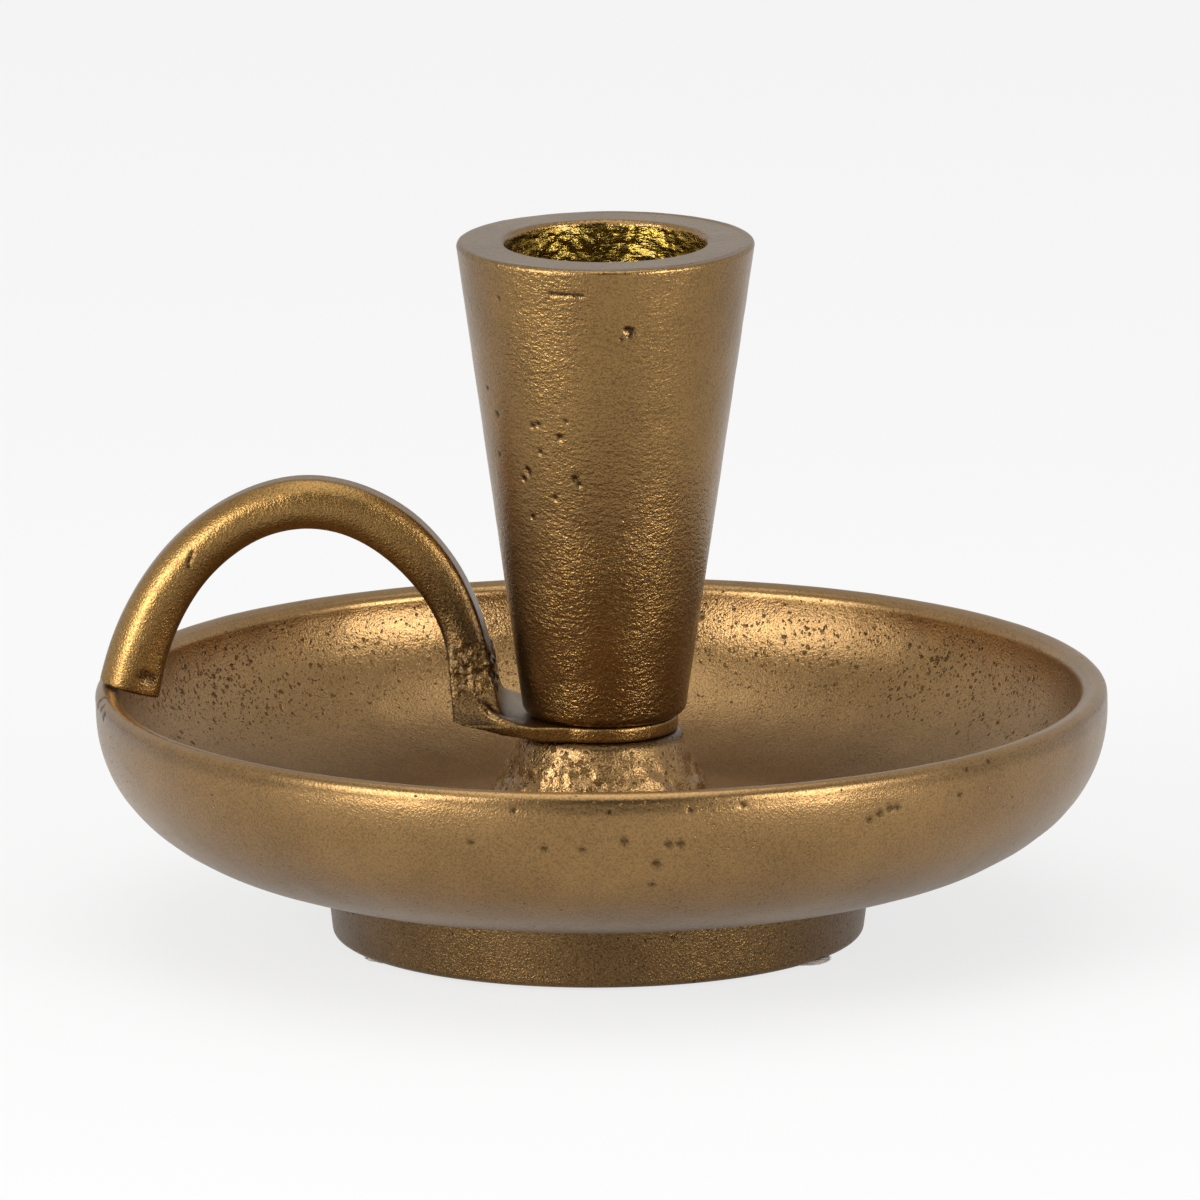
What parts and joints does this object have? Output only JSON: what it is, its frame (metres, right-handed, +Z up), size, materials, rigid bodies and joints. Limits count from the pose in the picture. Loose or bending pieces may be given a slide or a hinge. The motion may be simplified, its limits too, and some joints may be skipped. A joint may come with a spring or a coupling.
{
  "type": "chamberstick",
  "caption": "Cast chamberstick: shallow round drip pan on a foot ring, tapered candle cup on a central boss, and an arched finger-loop handle.",
  "frame": {"origin": "on the table, on the axis of the drip pan and candle cup", "axes": "+Z up out of the candle cup, handle towards -X, +Y away from the picture's viewer"},
  "size_m": [0.1152, 0.1152, 0.0802],
  "materials": {
    "pan_brass": "cast, sand-ground and antiqued, satin with open pores",
    "handle_brass": "cast and antiqued, tumbled smooth, rough at the root",
    "cup_brass": "cast, turned and antiqued, satin; bore left as cast",
    "zinc_steel": "zinc plated",
    "felt": "pale grey pressed wool felt"
  },
  "bodies": {
    "root": {"drip_pan": "pan_brass", "handle": "handle_brass", "candle_cup": "cup_brass", "clamp_screw": "zinc_steel", "flat_washer": "zinc_steel", "spring_washer": "zinc_steel", "felt_pad_1": "felt", "felt_pad_2": "felt", "felt_pad_3": "felt"}
  },
  "joints": []
}
